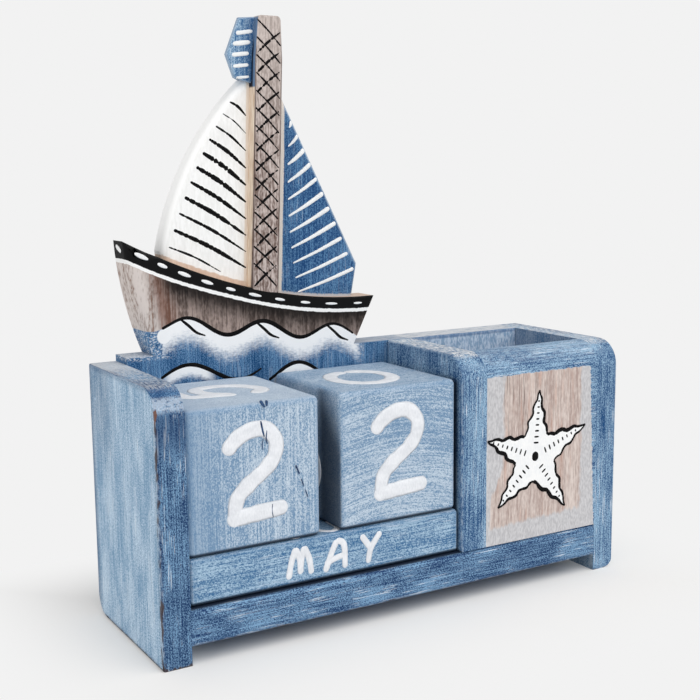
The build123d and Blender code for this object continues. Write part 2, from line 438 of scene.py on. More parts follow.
here, colour, relief = blue_board(
    "left_side_panel", ALONG_Z, full_blues, washed_blues, glued_high=(glued, 0, 0), bare=0.54)
back_top = here.up.rise(0.8, 0.95) * here.y.rise(-5, 25)
colour = blend(back_top * 0.7, colour, rubbed_back)
above_roll = here.front.rise(0.15, 0.3) * here.up.rise(0.68, 0.78) * here.up.fall(0.93, 0.98)
colour = blend(above_roll * 0.45, colour, roll_blue)
rolled = here.front.rise(0.5, 0.7) * here.up.rise(0.15, 0.35) * here.up.fall(0.62, 0.76)
rolled = rolled * streaks(here, ALONG_X, 0.9, 1.6, shift=47.0).rise(0.3, 0.52)
colour = blend(rolled * 0.55, colour, rubbed_roll)
below_roll = here.front.rise(0.8, 0.95) * here.z.rise(66, 80) * here.z.fall(85.5, 88.5)
colour = blend(below_roll * 0.6, colour, full_blues[0])
chip_x = (here.x - panel_low.x) / chip_half_width
chip_z = (here.z - chip_height) / chip_half_height
chip = (chip_x * chip_x + chip_z * chip_z + (relief - 0.5) * 2).fall(0.6, 1.0)
colour = blend(chip * here.front.rise(0.3, 0.6) * 0.9, colour, chip_brown)
outside = here.left.rise(0.3, 0.6)
back_edge = here.y.rise(26, 31) * 0.45
upper_back = here.y.rise(2, 18) * here.z.rise(45, 85) * 0.3
colour = blend(outside * back_edge.most(upper_back), colour, full_blues[0])
# Darker along the lower edge of the outer face.
along_lower_edge = outside * (here.z + (relief - 0.5) * 2).fall(0.6, 1.6)
colour = blend(along_lower_edge * 0.85, colour, lower_edge_dark)
finish_board("left_side_panel", here, colour, relief)

# %% [markdown]
# The right side and the divider wall the pencil well. The right side stayed deep blue in there;
# the divider is mottled with a paler wash, as the well's other walls are, with painted shadow in
# the narrow gap beside the cube. The base makes the rail in front, which has painted shadow where
# the bar rests on it.

# %% Right side
well_deep = tone(0, 46, 98)

here, colour, relief = blue_board(
    "right_side_panel", ALONG_Z, middle_blues, washed_blues, (glued, 0, 0), top_wash=0.8)
inner = here.left.rise(0.5, 0.9)
above_base = here.z.rise(rail_high.z - 0.5, rail_high.z + 2.5)
colour = blend(inner * above_base * 0.5, colour, well_deep)
under_base = here.z.fall(rail_low.z - 1.5, rail_low.z + 1.5)
colour = blend(inner * under_base * 0.6, colour, navy_shade_and_dirt)
finish_board("right_side_panel", here, colour, relief)

# %% Divider and base
well_base, well_mottle = tone(164, 192, 220), tone(226, 236, 247)
cube_rim = 84, 87
gap_mouth, gap_end = (-31, -27.5), (-22, -14)
bar_front = -29, -26


def well_wash(here, colour, facing_well):
    """The mottled pale wash on the walls of the pencil well."""
    colour = blend(facing_well * 0.7, colour, well_base)
    patches = streaks(here, ALONG_Z, 0.8, 2.0, shift=43.0, detail=5.0).rise(0.4, 0.62)
    return blend(facing_well * patches * 0.65, colour, well_mottle)


here, colour, relief = blue_board(
    "box_divider", ALONG_Z, middle_blues, middle_blues,
    (0, 0, glued), (glued, 0, 0), top_wash=1.0, bare=0.2)
# Painted shadow: the divider's left face goes dark navy in the narrow gap beside the right cube.
beside_cube = here.left.rise(0.7, 0.9) * here.z.fall(*cube_rim)
beside_cube = beside_cube * here.y.rise(*gap_mouth) * here.y.fall(*gap_end)
colour = blend(beside_cube * 0.9, colour, navy_shade_and_dirt)
colour = well_wash(here, colour, here.right.rise(0.5, 0.9))
finish_board("box_divider", here, colour, relief)

here, colour, relief = blue_board(
    "base_board", ALONG_X, rail_blues, full_blues,
    (glued, 0, 0), (glued, 0, glued), top_wash=0.2, top_grain=ALONG_X)
# Painted shadow: the rail's top goes dark where the front bar rests on it.
shadow_under_bar = here.z.rise(rail_high.z - 0.9, rail_high.z - 0.2) * here.y.fall(*bar_front)
shadow_under_bar = shadow_under_bar * here.x.fall(divider_low.x, divider_low.x + 1)
finish_board("base_board", here, blend(shadow_under_bar, colour, navy_shade_and_dirt), relief)

# %% [markdown]
# The front of the pencil box keeps a window of bare wood. Tape covered it while the frame around
# it was painted, and a pale grey wash then softened the window's margins, so three finishes meet
# on one board: pinkish wood with upright grain, grey wash, and the blue of the rounded top and
# the right margin.

# %% Window of bare wood
def upright_wood(here, fibre, speckle, bands, strengths, dark, pale):
    """Fibre, speckle, load and colour of upright wood, from widths, lengths and shifts."""
    fibre = streaks(here, ALONG_Z, *fibre)
    speckle = streaks(here, ALONG_Z, *speckle, detail=5.0)
    bands = streaks(here, ALONG_Z, *bands)
    load = mixture(0.5, *zip((fibre, speckle, bands), strengths))
    return fibre, speckle, load, blend(load.rise(0.1, 0.9), dark, pale)


front_low, front_high = box_mm("box_front_panel")
window_top = front_high.z - 9.0

here = spot("box_front_panel_paint")
grain_lines, _, _, wood = upright_wood(
    here, (0.45, 9.0), (0.8, 2.2, 19.0), (4.0, 50.0, 9.0), (1.2, 0.9, 1.0),
    tone(170, 150, 143), tone(217, 204, 197))
flush = streaks(here, ALONG_Z, 2.2, 26.0, shift=77.0).rise(0.52, 0.66)
wood = blend(flush * 0.35, wood, tone(196, 150, 130))
dark_lines = streaks(here, ALONG_Z, 0.5, 16.0, shift=41.0).rise(0.56, 0.68)
upper_left = here.x.fall(front_low.x + 20, front_low.x + 34) * here.z.rise(48, 62)
wood = blend(dark_lines * (upper_left * 0.45 + 0.15), wood, tone(96, 84, 80))
haze = streaks(here, ALONG_Z, 0.6, 1.6, shift=61.0, detail=5.0).rise(0.3, 0.7)
wash = blend(haze, tone(180, 179, 182), tone(206, 205, 207))
ragged = (streaks(here, ALONG_Z, 1.6, 6.0, shift=3.0) - 0.5) * 4
left_margin = here.z.rise(36, 52) * 6.0 + 2.2
inside = (here.x + ragged - left_margin - front_low.x).rise(-0.7, 0.7)
inside = inside * (here.x + ragged).fall(front_high.x - 9.0, front_high.x - 7.4)
slanted = here.z + ragged - here.x * 0.035
inside = inside * slanted.rise(front_low.z + 5.0, front_low.z + 6.6)
window = blend(inside, wash, wood)
print("window of bare wood up to", round(window_top, 1))

# %% Front of the pencil box
coat, relief = dry_brush(here, ALONG_X, *middle_blues)
worn = streaks(here, ALONG_X, 0.6, 3.0, shift=23.0).rise(0.35, 0.65)
coat = blend(here.up.rise(0.3, 0.8) * worn * 0.35, coat, rubbed_ground)
coat = well_wash(here, coat, here.back.rise(0.5, 0.9))
wander = (streaks(here, ALONG_X, 0.8, 2.0, shift=17.0) - 0.5) * 1.6
tape = (here.z + wander).fall(window_top - 0.2, window_top + 0.2)
leaning = here.x + wander + here.z * 0.05
tape = tape * leaning.fall(front_high.x + 0.4, front_high.x + 0.8)
colour = blend(tape * here.front.rise(0.6, 0.9), coat, window)
front_paint = close(here, colour, grain_lines * 0.2 + 0.55, relief, 0.08)
nodes["box_front_panel"].material_slots[0].material = front_paint
print("box_front_panel painted")

# %% [markdown]
# The cubes and bars are handled every day. Their blue is thinner and paler than the case's, and
# the two cubes were cut across each other: the grain stands upright on the left one and lies
# flat, in bows, on the right. The left one has painted shade towards the side board. Painted
# shade mixed with dirt makes dark lines along the lower edges where they stand on each other,
# and painted shadow darkens the right cube's left face in the gap.

# %% Cubes and bars
def loose_block(
    node, grain, deep, pale, bow=0.0, gap_shadow=0.0, top_wash=0.0, left_shade=0.0,
):
    """Finish of a cube or bar: a thin coat, rubbed edges, and painted shade with dirt where it
    rests.
    """
    here = spot(node + "_paint")
    low, high = box_mm(node)
    across = here.x - (low.x + high.x) / 2
    bowed = {0: here.x, 1: here.y, 2: here.z + across * across * bow}
    here.place = across.node("ShaderNodeCombineXYZ", {}, bowed)
    colour, relief = dry_brush(here, grain, deep, pale, flecks=0.5, clouding=0.8)
    # Painted shade: the left side of the block is deepened towards the side board.
    colour = blend((here.x - low.x).fall(0, 22) * left_shade, colour, deep)
    colour = blend(here.up.rise(0.6, 0.9) * top_wash, colour, chalk)
    edge = edge_distance(here, low, high)
    colour = blend(edge.fall(0.8, 3.0) * 0.3, colour, deep)
    colour, relief = rub_edges(here, grain, colour, relief, edge, bare_share=0.3)
    upright = here.up.fall(0.5, 0.85)
    # Painted shadow on the block's left face in the gap, near its front.
    in_gap = ((high.z - here.z) * 0.05 + (here.y - low.y) * 0.06).rise(0.2, 1.3)
    in_gap = in_gap * here.left.rise(0.5, 0.9) * here.y.fall(low.y + 12, low.y + 18)
    # Painted shade mixed with dirt: dark lines along the lower edges of the upright faces.
    edge_shade_and_dirt = (upright * (here.z - low.z).fall(0.8, 1.8)).most(in_gap * gap_shadow)
    colour = blend(edge_shade_and_dirt * 0.9, colour, navy_shade_and_dirt)
    dull = streaks(here, grain, 5.0, 12.0, shift=5.0) * 0.3 + 0.45
    nodes[node].material_slots[0].material = close(here, colour, dull, relief, 0.1)
    print(node, "painted")


cube_blues = tone(104, 138, 171), tone(190, 205, 219)
bar_blues = tone(56, 104, 147), tone(166, 193, 214)
loose_block("date_cube_left", ALONG_Z, *cube_blues, top_wash=0.35, left_shade=0.55)
loose_block("date_cube_right", ALONG_X, *cube_blues, bow=0.006, gap_shadow=0.9)
for row in ("front", "middle", "back"):
    loose_block("month_bar_" + row, ALONG_X, *bar_blues)

# %% [markdown]
# Thin brads pin the glued boards. Their heads sit flush and were painted over with the case, so
# only a faint change of tone gives them away.

# %% Painted brads
for group in ("left_side_brads", "right_side_brads", "base_brads"):
    here = spot(group + "_paint")
    colour, relief = dry_brush(here, ALONG_Z, *washed_blues)
    brad_paint = close(here, colour, relief * 0.2 + 0.45, relief, 0.05)
    nodes[group].material_slots[0].material = brad_paint
print("brad heads painted over")

# %% [markdown]
# The boat is sawn from the same plank as the back board, and then carved: hull and mast stand at
# the plank's face, the pennant and the sails lie deeper. In the frame that is one solid with one
# material. Here each form is its own piece, so that wood, white and blue can meet cleanly.
# `carve` extrudes an outline of a few points, and `round_over` rounds its front edges.

# %% Outlines and carving
def bend(start, end, swell, steps=18):
    """Points of a curve from start to end that swells to its left by the given size."""
    start, end = Vector(start), Vector(end)
    side = Vector((start.y - end.y, end.x - start.x)).normalized() * swell * 4 / 3
    handles = start.lerp(end, 1 / 3) + side, start.lerp(end, 2 / 3) + side
    curve = geometry.interpolate_bezier(start, *handles, end, steps)
    return [Vector(point) for point in curve]


def carve(outline, front, back):
    """A flat form with the outline's x and z, from its front to its back."""
    shape = bmesh.new()
    rim = [shape.verts.new((x, back, z)) for x, z in outline]
    grown = bmesh.ops.extrude_face_region(shape, geom=[shape.faces.new(rim)])
    moved = [part for part in grown["geom"] if isinstance(part, bmesh.types.BMVert)]
    bmesh.ops.translate(shape, verts=moved, vec=(0, front - back, 0))
    bmesh.ops.recalc_face_normals(shape, faces=shape.faces)
    return shape


def round_over(shape, front, radius, chosen=lambda middle: True):
    """Rounds the edges around the front face, or those whose middles are chosen."""
    edges = [
        edge for edge in shape.edges
        if all(abs(corner.co.y - front) < 0.01 for corner in edge.verts)
        and chosen((edge.verts[0].co + edge.verts[1].co) / 2)
    ]
    made = bmesh.ops.bevel(
        shape, geom=edges, offset=radius, segments=4, profile=0.5, affect="EDGES", material=-1)
    for face in made["faces"]:
        face.smooth = True
    return shape


def piece(name, shape, finish, body, slot, *stands_for):
    """Scales a drawn shape to metres and gives it its finish and body; the slot is not used."""
    open_edges = sum(not edge.is_manifold for edge in shape.edges)
    bmesh.ops.scale(shape, vec=(MM, MM, MM), verts=shape.verts)
    mesh = bpy.data.meshes.new(name)
    shape.to_mesh(mesh)
    shape.free()
    mesh.materials.append(finish)
    made = bpy.data.objects.new(name, mesh)
    bpy.context.collection.objects.link(made)
    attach(made, body)
    if stands_for:
        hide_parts(*stands_for)
    print(name, len(mesh.polygons), "faces,", open_edges, "open edges")
    return made


def boat_piece(name, shape, finish):
    """A carved form of the boat, which stands for the plank of the frame."""
    return piece(name, shape, finish, "case", "boat_paint", "boat_back_board")


# %% [markdown]
# Hull lines are given once, from the plank's left end and from the top of the case. The sheer,
# the long curve of the gunwale, is a formula that takes a number or a socket, so the same line
# shapes the outline and places the paint under it. The waves on the board work the same way.

# %% Lines of the boat and the sea
bow_tip = Vector((board_low.x + 0.8, case_top + 44.4))
bow_foot = Vector((bow_tip.x + 10.4, case_top))
bow_swell, bow_round = 1.9, 3.4
hull_length = 103.6
stern_tip = Vector((bow_tip.x + hull_length, case_top + 18.8))
stern_foot = Vector((stern_tip.x - 9.4, case_top))
sheer_drop = 7.1
ledge_top = case_top + 2.5


def sheer(x):
    """Height of the gunwale at x."""
    share = (x - bow_tip.x) / hull_length
    straight = share * (stern_tip.y - bow_tip.y) + bow_tip.y
    return straight - share * (1 - share) * (4 * sheer_drop)


def cosine(value):
    """Cosine of a number or a socket."""
    return value.math("COSINE", value) if isinstance(value, Socket) else math.cos(value)


wave_crest, wave_length = -64.5, 30.8
wave_height, wave_level, wave_fall = 2.9, 106.1, 0.11
# Level, height and length of the waves further down, by the place of their crests.
lower_crests = {-65.0: (88.9, 3.7, 41.0), -19.5: (85.9, 3.5, 34.0)}


def wave(x):
    """Height of the wave line that washes along the hull."""
    swing = cosine((x - wave_crest) * (2 * math.pi / wave_length)) * wave_height
    return swing - (x + 55) * wave_fall + wave_level


def lower_wave(x, crest):
    """Height of one of the two waves further down the board."""
    level, height, length = lower_crests[crest]
    return cosine((x - crest) * (2 * math.pi / length)) * height + level


print("sheer at the mast", round(sheer(-31.0), 1), "wave there", round(wave(-31.0), 1))

# %% [markdown]
# One finish covers the board and the hull. Its lower part is the sea: deep blue brushed upright,
# white foam that fades out under the wave line and under two crests, a paler wash inside the
# pencil well, and a rough ledge at the bow where the saw cut left white chips.

# %% Finish of the sea
white_water = tone(244, 245, 246)
bow_ledge = -76, -68

here = spot("sailboat_plank_paint")
ragged = streaks(here, ALONG_Z, 1.4, 2.6, shift=13.0, detail=5.0) - 0.5
sea, relief = board_coat(
    here, ALONG_Z, ALONG_X, tone(16, 66, 112), tone(104, 145, 183), flecks=0.25)
in_well = here.x.rise(divider_high.x - 2, divider_high.x)
well_wall = in_well * here.front.rise(0.5, 0.9)
sea = well_wash(here, sea, well_wall)
rim_line = well_wall * here.z.rise(case_top - 1.8, case_top - 1.0)
sea = blend(rim_line * 0.5, sea, tone(40, 84, 136))
worn = streaks(here, ALONG_X, 0.7, 6.0, shift=23.0).rise(0.25, 0.55)
sea = blend(here.up.rise(0.5, 0.9) * worn * (in_well * 0.3 + 0.6), sea, rubbed_top)
chips = here.z.rise(case_top + 0.6, case_top + 1.8) * here.x.fall(*bow_ledge)
chips = chips * streaks(here, ALONG_X, 0.6, 0.9, shift=91.0).rise(0.5, 0.62)
sea = blend(chips * here.back.fall(0.3, 0.6) * 0.6, sea, white_water)
print("sea brushed upright")

# %% Foam
foam_reach = 8.2
foam_left, foam_right = (-75.4, -74.4), (6.0, 11.0)
foam_start = Vector((-74.2, 103.9))

under_wave = wave(here.x) - here.z
scratchy = ragged * 3 + (streaks(here, ALONG_X, 0.5, 1.2, shift=97.0) - 0.5) * 6
foam = (under_wave + scratchy).fall(foam_reach - 4.2, foam_reach + 3.6)
foam = foam * here.x.rise(*foam_left) * (here.x + scratchy).fall(*foam_right)
start_x, start_z = here.x - foam_start.x, here.z - foam_start.y
foam = foam.most((start_x * start_x + start_z * start_z).fall(6.0, 9.5))
for crest in lower_crests:
    below = lower_wave(here.x, crest) - here.z
    near = abs(here.x - crest).fall(6.5, 12.0)
    lower_foam = below.rise(-0.2, 0.2) * (below + scratchy * 0.4).fall(2.6, 5.8)
    foam = foam.most(lower_foam * near)
sea = blend(foam * here.front.rise(0.5, 0.9), sea, white_water)
print("foam reaches", foam_reach, "mm below the wave line")

# %% [markdown]
# Above the wave line the hull is oiled wood with upright grain. It pales towards the bow, where
# some red heartwood shows, and soot darkens it under the white stripe. Along the gunwale runs a
# black band, which is broadest at the bow and covers its top; further back the gunwale's top is
# bare.

# %% Finish of the hull
stripe_width, band_width, bow_extra = 1.35, 4.5, 1.7
broad_bow, bare_from = (-86.0, -42.0), (-74, -68)
bow_slope = (bow_foot.x - bow_tip.x) / (bow_tip.y - bow_foot.y)

fibre, _, load, hull = upright_wood(
    here, (0.5, 11.0, 37.0), (0.8, 1.8, 67.0), (3.0, 40.0, 19.0), (1.5, 1.2, 1.2),
    tone(96, 82, 76), tone(172, 154, 146))
from_bow = here.x - bow_tip.x - (bow_tip.y - here.z) * bow_slope
rough = from_bow + (fibre - 0.5) * 8
red_heart = rough.rise(4.0, 7.0) * rough.fall(8.0, 15.0)
hull = blend(red_heart * 0.55, hull, tone(122, 78, 60))
rubbed_bow = blend(load.rise(-0.05, 0.6), tone(140, 112, 98), tone(220, 211, 206))
hull = blend(rough.fall(1.5, 8.5) * 0.85, hull, rubbed_bow)
under_sheer = sheer(here.x) - here.z
band_depth = here.x.fall(*broad_bow) * bow_extra + band_width
below_stripe = under_sheer - band_depth - stripe_width
soot = (below_stripe + ragged * 4).fall(0.5, 11.5) * from_bow.rise(5.0, 14.0)
hull = blend(soot * 0.95, hull, tone(17, 15, 15))
stripe = (below_stripe + ragged * 0.7).fall(-0.1, 0.1)
hull = blend(stripe, hull, tone(246, 246, 245))
band = (below_stripe + stripe_width + ragged * 0.7).fall(-0.1, 0.1)
hull = blend(band, hull, tone(12, 12, 13))
behind_front = here.y.rise(board_low.y + 1.0, board_low.y + 1.6)
bare_gunwale = here.up.rise(0.5, 0.8) * behind_front * here.x.rise(*bare_from)
hull = blend(bare_gunwale, hull, blend(fibre, tone(186, 158, 138), tone(224, 204, 188)))
above_water = (0 - under_wave).rise(-0.15, 0.15)
above_water = above_water * here.x.fall(stern_tip.x + 0.5, stern_tip.x + 1.0)
colour = blend(above_water, sea, hull)
relief = relief * 0.6 + fibre * 0.4
plank_paint = close(here, colour, fibre * 0.2 + 0.5, relief, 0.12, shine=0.1)
print("band and stripe under the sheer ready")

# %% Board with the hull
bow = [point for point in bend(bow_tip, bow_foot, -bow_swell) if point.y > ledge_top]
gunwale_steps = 24
rim_round = 0.6
outline = [
    (board_low.x, board_low.z),
    (board_high.x, board_low.z),
    (board_high.x, case_top),
    stern_foot,
    stern_tip,
]
for step in range(1, gunwale_steps):
    x = stern_tip.x - hull_length * step / gunwale_steps
    outline.append((x, sheer(x)))
outline += [*bow, (bow[-1].x + 0.5, ledge_top), (board_low.x, ledge_top)]


def on_bow(middle):
    """True for the bow's own edge."""
    return middle.x < bow_foot.x and middle.z > ledge_top + 2


def on_rim(middle):
    """True for the other edges above the foot of the plank."""
    return not on_bow(middle) and middle.z > board_low.z + 1


plank = carve(outline, board_low.y, board_high.y)
round_over(plank, board_low.y, bow_round, on_bow)
round_over(plank, board_low.y, rim_round, on_rim)
boat_piece("sailboat_plank", plank, plank_paint)

# %% [markdown]
# The mast is a batten that leans a little and narrows near its head. Its front is stained a
# pinkish brown, its arrises are dark, and its left side was left as sawn, pale tan, up to the
# pennant. There the blue was carried round the corner, and low down it darkens into the corner
# against the pennant.

# %% Stain of the mast
mast_foot = Vector((board_low.x + 54.9, case_top))
mast_head = Vector((mast_foot.x + 5.0, board_high.z))
mast_half, head_half = 11.6 / 2, 9.6 / 2
shoulder = mast_head.y - 16.0
pennant_low = mast_head.y - 24.0
tuck = 1.5
hair = 0.04


def mast_middle(z):
    """Middle of the mast at a height, as a number or a socket."""
    share = (z - mast_foot.y) / (mast_head.y - mast_foot.y)
    return share * (mast_head.x - mast_foot.x) + mast_foot.x


here = spot("mast_stain")
fibre, speckle, _, stain = upright_wood(
    here, (0.5, 8.0), (0.7, 1.6, 53.0), (2.2, 30.0, 29.0), (1.5, 1.5, 0.9),
    tone(104, 84, 76), tone(200, 186, 180))
from_middle_line = abs(here.x - mast_middle(here.z))
arris = (from_middle_line + (speckle - 0.5) * 1.2).rise(mast_half - 0.9, mast_half - 0.4)
stain = blend(here.z.rise(150, 215) * 0.5, stain, tone(208, 197, 191))
stain = blend(arris * 0.75, stain, tone(74, 52, 44))
sawn = blend(fibre.rise(0.3, 0.7), tone(204, 176, 150), tone(240, 224, 204))
# Darker deep in the corner against the pennant, towards the pennant's lower part.
luff = here.y.rise(board_low.y + 1.5, board_low.y + 1.8) * here.z.fall(207, 214)
hoist_blue = blend(luff, tone(96, 122, 154), tone(10, 18, 38))
sawn = blend(here.z.rise(pennant_low - 2.4, pennant_low - 1.6), sawn, hoist_blue)
stain = blend(here.left.rise(0.6, 0.8), stain, sawn)
mast_paint = close(here, stain, fibre * 0.2 + 0.55, fibre, 0.1)
print("mast leans", round(mast_head.x - mast_foot.x, 1), "mm")

# %% Mast
mast_bottom = sheer(mast_foot.x) - tuck
levels = ((mast_bottom, mast_half), (shoulder, mast_half), (mast_head.y, head_half))
outline = [(mast_middle(z) + half, z) for z, half in levels]
outline += [(mast_middle(z) - half, z) for z, half in reversed(levels)]
mast_front, mast_round, head_round = board_low.y + hair, 0.8, 1.5
mast = carve(outline, mast_front, board_high.y - hair)
head_corners = [
    edge for edge in mast.edges
    if all(corner.co.z > mast_head.y - 0.1 for corner in edge.verts)
    and abs(edge.verts[0].co.x - edge.verts[1].co.x) < 0.1
]
bmesh.ops.bevel(
    mast, geom=head_corners, offset=head_round, segments=3, profile=0.5,
    affect="EDGES", material=-1)
boat_piece("mast", round_over(mast, mast_front, mast_round), mast_paint)

# %% [markdown]
# Sails and pennant are carved deeper than the mast and their edges are rounded over. The main
# sail is white with a rim of bare wood along the gunwale, the jib is deep blue with a cream line
# beside the mast and pale rounded edges, and the pennant is a paler blue that deepens towards the
# mast.

# %% White of the main sail
sail_front = board_low.y + 4.6
pennant_front = board_low.y + 2.8

here = spot("main_sail_paint")
hairs = streaks(here, ALONG_Z, 0.8, 3.0, detail=5.0)
white = blend(hairs.rise(0.3, 0.7), tone(240, 240, 238), tone(250, 250, 249))
# Painted highlight: the rounded edges are painted whiter so that they read as bright as the front.
white = blend(here.front.fall(0.8, 0.97), white, tone(253, 253, 252))
shade = streaks(here, ALONG_Z, 6.0, 10.0, shift=7.0).rise(0.5, 0.75)
white = blend(shade * 0.3, white, tone(226, 224, 223))
raw = blend(hairs, tone(200, 168, 146), tone(234, 216, 200))
above_sheer = here.z - sheer(here.x) + (streaks(here, ALONG_X, 1.0, 3.0) - 0.5) * 1.5
white = blend(above_sheer.fall(1.6, 2.2), white, raw)
by_mast = (mast_middle(here.z) - mast_half - here.x).fall(0.9, 1.4)
white = blend(by_mast * 0.8, white, tone(232, 216, 198))
main_paint = close(here, white, hairs * 0.2 + 0.5, hairs, 0.06)
print("sails lie", round(sail_front - board_low.y, 1), "mm behind the face of the hull")

# %% Blues of the jib and the pennant
here = spot("jib_paint")
coat, relief = dry_brush(here, ALONG_Z, tone(10, 62, 112), tone(90, 134, 174), flecks=0.35)
rounded = here.front.fall(0.75, 0.97) * here.back.fall(0.3, 0.6)
rounded = rounded * streaks(here, ALONG_Z, 0.8, 4.0, shift=3.0).rise(0.25, 0.5)
coat = blend(rounded * 0.75, coat, tone(178, 194, 210))
by_mast = (here.x - mast_middle(here.z) - mast_half + (relief - 0.5) * 1.5).fall(3.2, 3.7)
coat = blend(by_mast * here.back.fall(0.3, 0.6), coat, tone(222, 214, 206))
by_hull = (here.z - sheer(here.x) + (relief - 0.5) * 2).fall(0.6, 1.2)
coat = blend(by_hull * 0.8, coat, tone(206, 204, 204))
jib_paint = close(here, coat, relief * 0.2 + 0.5, relief, 0.1)

here = spot("pennant_paint")
coat, relief = dry_brush(here, ALONG_Z, tone(44, 96, 144), tone(162, 190, 213))
by_mast = (mast_middle(here.z) - mast_half - here.x).fall(0.5, 6.0)
coat = blend(by_mast * 0.5, coat, tone(20, 66, 116))
rounded = here.front.fall(0.7, 0.97) * here.back.fall(0.3, 0.6)
coat = blend(rounded * 0.5, coat, tone(172, 190, 208))
pennant_paint = close(here, coat, relief * 0.2 + 0.5, relief, 0.1)
print("pennant lies", round(pennant_front - board_low.y, 1), "mm behind the face of the hull")

# %% Sails
main_top, jib_top = case_top + 102.4, case_top + 101.2
main_head = Vector((mast_middle(main_top) - mast_half - 1.8, main_top))
main_tack = Vector((board_low.x + 16.3, case_top + 40.0))
clew = Vector((board_low.x + 99.9, case_top + 31.6))
jib_foot = Vector((board_low.x + 95.5, case_top + 8.0))
sail_round, sail_roach = 2.5, 5.6
sail_back = board_high.y - 2 * hair

outline = [
    *bend(main_head, main_tack, -sail_roach),
    (main_tack.x + 5.0, jib_foot.y),
    (mast_foot.x, jib_foot.y),
    (mast_middle(main_top), main_top),
]
main_sail = round_over(carve(outline, sail_front, sail_back), sail_front, sail_round)
main_sail = boat_piece("main_sail", main_sail, main_paint)

outline = [
    (mast_middle(jib_top), jib_top),
    (mast_middle(jib_top) + mast_half, jib_top),
    clew,
    jib_foot,
    (mast_foot.x, jib_foot.y),
]
jib = round_over(carve(outline, sail_front, sail_back), sail_front, sail_round)
jib = boat_piece("jib", jib, jib_paint)

# %% [markdown]
# The pennant's front flares out past its back along the free edge, as the knife left it, so those
# corners are moved before the edges are rounded.

# %% Pennant
hoist = mast_head.x - head_half
pennant_top = mast_head.y - hair
pennant_round = 1.2
flare = -4.0, 0, -1.0

outline = [
    (mast_head.x, pennant_top),
    (hoist - 2.8, pennant_top),
    (hoist - 8.3, pennant_top - 13.5),
    (hoist - 5.2, pennant_low + 2.0),
    (mast_middle(pennant_low), pennant_low - 2.0),
]
pennant = carve(outline, pennant_front, board_high.y - 3 * hair)
free_edge = [
    corner for corner in pennant.verts
    if corner.co.y < pennant_front + 1 and corner.co.x < hoist - 2
]
bmesh.ops.translate(pennant, verts=free_edge, vec=flare)
pennant = round_over(pennant, pennant_front, pennant_round)
pennant = boat_piece("pennant", pennant, pennant_paint)

# %% [markdown]
# All the decoration is laid on with a round brush, so one helper makes every stroke. A stroke is
# a curve through a few points whose bevel radius swells and tapers as the brush is pressed, with
# round ends; the tube is then flattened to the height of a film of paint. `paint` gathers strokes
# into one piece.

# %% One stroke
stroke_spacing = 0.5


def smooth(path, steps=10):
    """Points of a soft curve through the given ones."""
    knots = [Vector(point) for point in path]
    ends = [knots[0] * 2 - knots[1], *knots, knots[-1] * 2 - knots[-2]]
    route = [knots[0]]
    for before, start, end, after in zip(ends, ends[1:], ends[2:], ends[3:]):
        handles = start + (end - before) / 6, end - (after - start) / 6
        curve = geometry.interpolate_bezier(start, *handles, end, steps)
        route += [Vector(point) for point in curve[1:]]
    return route


def stations(total, start_half, end_half, spacing):
    """Distances along a stroke: close together at its round ends, evenly spaced between."""
    ends = (0.0, 0.08, 0.25, 0.55, 1.0)
    first = [share * start_half for share in ends]
    last = [total - share * end_half for share in reversed(ends)]
    room = last[0] - first[-1]
    count = max(1, int(room / spacing))
    return first + [first[-1] + room * step / count for step in range(1, count)] + last


def add_stroke(curve, path, halves, dry=0.0):
    """One stroke as a spline; halves are its half widths at the start, middle and end."""
    route = smooth(path)
    first, middle, last = halves
    reach = [0.0]
    for here, there in zip(route, route[1:]):
        reach.append(reach[-1] + (there - here).length)
    total = reach[-1]
    places = stations(total, min(first, total / 3), min(last, total / 3), stroke_spacing)
    spline = curve.splines.new("POLY")
    spline.points.add(len(places) - 1)
    for point, distance in zip(spline.points, places):
        passed = (count for count, far in enumerate(reach) if far >= distance)
        leg = max(1, next(passed, len(reach) - 1))
        share = (distance - reach[leg - 1]) / max(reach[leg] - reach[leg - 1], 1e-6)
        at = route[leg - 1].lerp(route[leg], share)
        along = distance / total
        half = first * (1 - along) ** 2 + 2 * middle * along * (1 - along) + last * along ** 2
        end = min(distance / first, (total - distance) / last, 1.0)
        pressed = 1 + 0.1 * noise.noise((at.x * 0.35, at.y * 0.35, 0.5))
        lifted = 1 - dry * max(0.0, noise.noise((at.x * 1.4, at.y * 1.4, 7.5)) * 2)
        point.co = (at.x, at.y, 0, 1)
        rounding = max(0.06, math.sqrt(1 - (1 - end) ** 2))
        point.radius = half * rounding * pressed * max(0.15, lifted)


print("a stroke is measured every", stroke_spacing, "mm")

# %% Strokes on a piece
def strokes_mesh(strokes, film):
    """Flattened mesh of strokes drawn in the x, y plane; film is the height of the paint."""
    curve = bpy.data.curves.new("strokes", "CURVE")
    curve.dimensions = "3D"
    curve.bevel_depth = 1.0
    curve.bevel_resolution = 2
    curve.use_fill_caps = True
    for stroke in strokes:
        add_stroke(curve, *stroke)
    drawn = bpy.data.objects.new("strokes", curve)
    mesh = bpy.data.meshes.new_from_object(drawn)
    widest = max(max(stroke[1]) for stroke in strokes)
    mesh.transform(Matrix.Diagonal((1, 1, film / widest, 1)))
    bpy.data.objects.remove(drawn)
    bpy.data.curves.remove(curve)
    return mesh


def facing(origin, right, up):
    """Places a drawing's x, y plane on a face of the piece."""
    right, up = Vector(right), Vector(up)
    turn = Matrix((right, up, right.cross(up))).transposed().to_4x4()
    return Matrix.Translation(origin) @ turn


def front_plane(y):
    """Places a drawing upright, facing the viewer, at the given depth."""
    return facing((0, y, 0), (1, 0, 0), (0, 0, 1))


